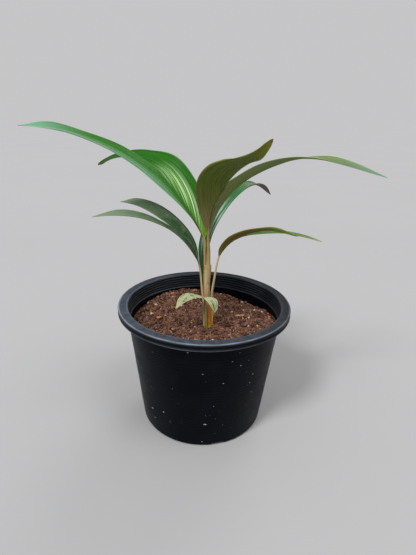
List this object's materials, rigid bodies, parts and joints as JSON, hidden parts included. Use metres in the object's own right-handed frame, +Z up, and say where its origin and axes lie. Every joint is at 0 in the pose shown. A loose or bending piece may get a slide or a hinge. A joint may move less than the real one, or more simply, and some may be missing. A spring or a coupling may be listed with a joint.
{
  "type": "potted palm",
  "caption": "Young palm with arching two-lobed leaves on slim stalks, growing from potting soil in a round flared plastic nursery pot.",
  "frame": {"origin": "centre of the pot's flat base, on the plane that the pot stands on", "axes": "+Z up, along the pot's axis; +X towards the long arching leaf on the right as the plant is seen from the front; -Y is the front, the side of the small seedling leaf and of the leaf that comes forward"},
  "size_m": [0.3481, 0.3003, 0.3497],
  "materials": {
    "pot_plastic": "satin",
    "potting_soil": "matte",
    "bark": "matte",
    "twig_bark": "matte",
    "grit": "matte",
    "stem_sheath": "satin",
    "root": "matte",
    "leaf_bright": "gloss",
    "leaf_olive": "satin",
    "leaf_dark": "gloss",
    "leaf_dull": "satin",
    "leaf_pale": "satin"
  },
  "bodies": {
    "root": {"pot": "pot_plastic", "potting_soil": "potting_soil", "stem": "stem_sheath", "roots": "root", "leaf_upper_left": "leaf_bright", "leaf_upper_right": "leaf_olive", "leaf_back": "leaf_dark", "leaf_lower_left": "leaf_dull", "leaf_lower_right": "leaf_olive", "leaf_seedling": "leaf_pale", "bark_chip_1": "bark", "bark_chip_2": "bark", "bark_chip_3": "bark", "bark_chip_4": "bark", "bark_chip_5": "bark", "twig": "twig_bark", "pebble_1": "grit", "pebble_2": "grit", "soil_clod": "potting_soil"}
  },
  "joints": []
}
